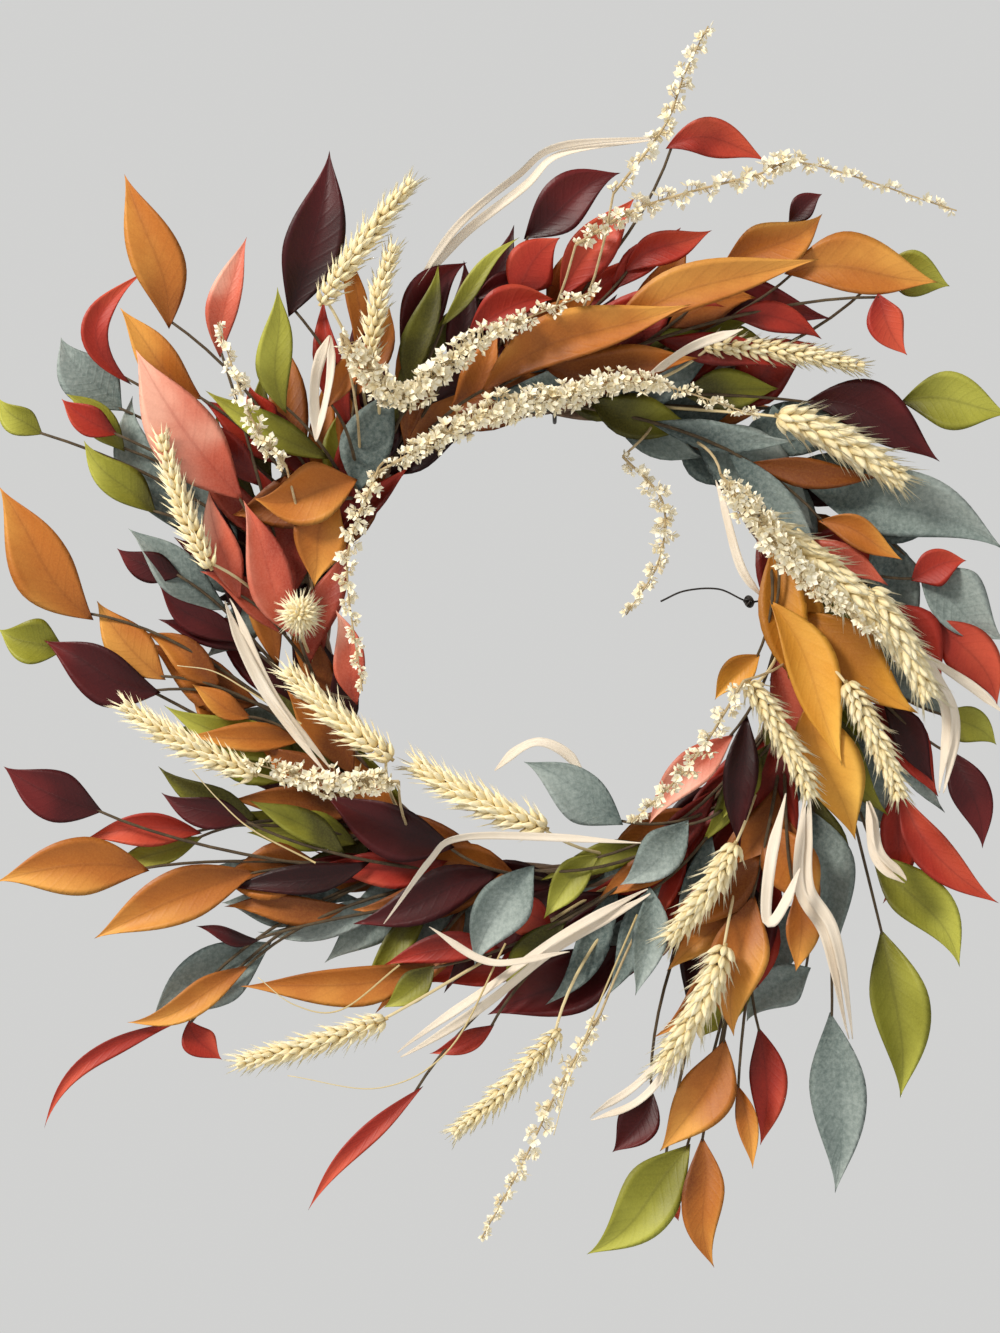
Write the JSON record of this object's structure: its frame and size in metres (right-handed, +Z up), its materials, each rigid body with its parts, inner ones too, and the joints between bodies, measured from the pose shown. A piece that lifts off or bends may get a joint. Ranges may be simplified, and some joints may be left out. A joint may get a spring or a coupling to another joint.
{
  "type": "harvest door wreath",
  "caption": "Swirling autumn wreath for a door: leaf sprays, wheat ears, cream floret sprigs and raffia wired to a round vine ring with a hanging eye.",
  "frame": {"origin": "inside top of the wire hanging eye, where the door hook bears", "axes": "+Z up, the front faces -Y, the door is on the +Y side, +X to the right as seen from the front"},
  "size_m": [0.557, 0.1187, 0.6676],
  "materials": {
    "rust_leaf": "satin two-tone orange leaf sheet",
    "gold_leaf": "satin golden leaf sheet",
    "burgundy_leaf": "satin dark wine leaf sheet",
    "red_leaf": "satin red leaf sheet",
    "coral_leaf": "satin coral leaf sheet",
    "green_leaf": "satin yellow-green leaf sheet",
    "sage_leaf": "matt mottled grey-green flocked sheet",
    "wheat": "matt straw",
    "floret": "matt cream",
    "raffia": "matt dry fibre",
    "vine": "rough brown bark",
    "florist_wire": "dark wrapped wire"
  },
  "bodies": {
    "root": {"vine_ring": "vine", "wire_tie_1": "florist_wire", "wire_tie_2": "florist_wire", "hanging_eye": "florist_wire", "loose_wire_end": "florist_wire", "sage_spray_upper_left": "sage_leaf", "sage_spray_bottom_left": "sage_leaf", "sage_spray_right": "sage_leaf", "sage_spray_lower_right": "sage_leaf", "green_spray_top_right": "green_leaf", "green_spray_upper_left": "green_leaf", "green_spray_left": "green_leaf", "green_spray_right": "green_leaf", "red_spray_upper_left": "red_leaf", "red_spray_bottom_left": "red_leaf", "red_spray_right": "red_leaf", "burgundy_spray_left": "burgundy_leaf", "burgundy_spray_right": "burgundy_leaf", "burgundy_spray_top_right": "burgundy_leaf", "rust_spray_upper_left": "rust_leaf", "rust_spray_left": "rust_leaf", "rust_spray_bottom_left": "rust_leaf", "rust_spray_top_right": "rust_leaf", "burgundy_spray_bottom_left": "burgundy_leaf", "burgundy_spray_bottom": "burgundy_leaf", "burgundy_spray_top": "burgundy_leaf", "red_spray_top": "red_leaf", "red_spray_bottom": "red_leaf", "red_spray_lower_right": "red_leaf", "green_spray_bottom": "green_leaf", "rust_spray_lower_right": "rust_leaf", "sage_spray_bottom": "sage_leaf", "rust_spray_top": "rust_leaf", "green_spray_top_left": "green_leaf", "coral_spray_left": "coral_leaf", "coral_spray_inner_right": "coral_leaf", "gold_spray_right": "gold_leaf", "rust_spray_inner_left": "rust_leaf", "raffia_strand_top": "raffia", "raffia_strand_bottom": "raffia", "raffia_strand_lower_right": "raffia", "wheat_pick_top_left": "wheat", "wheat_pick_left": "wheat", "wheat_pick_lower_left": "wheat", "wheat_pick_bottom": "wheat", "wheat_pick_lower_right": "wheat", "wheat_pick_inner_right": "wheat", "wheat_pick_right": "wheat", "wheat_pick_top_right": "wheat", "floret_sprig_top": "floret", "floret_sprig_tip": "floret", "floret_sprig_inner_left": "floret", "floret_sprig_upper_left": "floret", "floret_sprig_inner_top": "floret", "floret_sprig_left": "floret", "floret_sprig_hanging": "floret", "floret_sprig_right": "floret", "floret_sprig_inner_right": "floret", "floret_sprig_lower_left": "floret", "floret_sprig_bottom": "floret"}
  },
  "joints": []
}
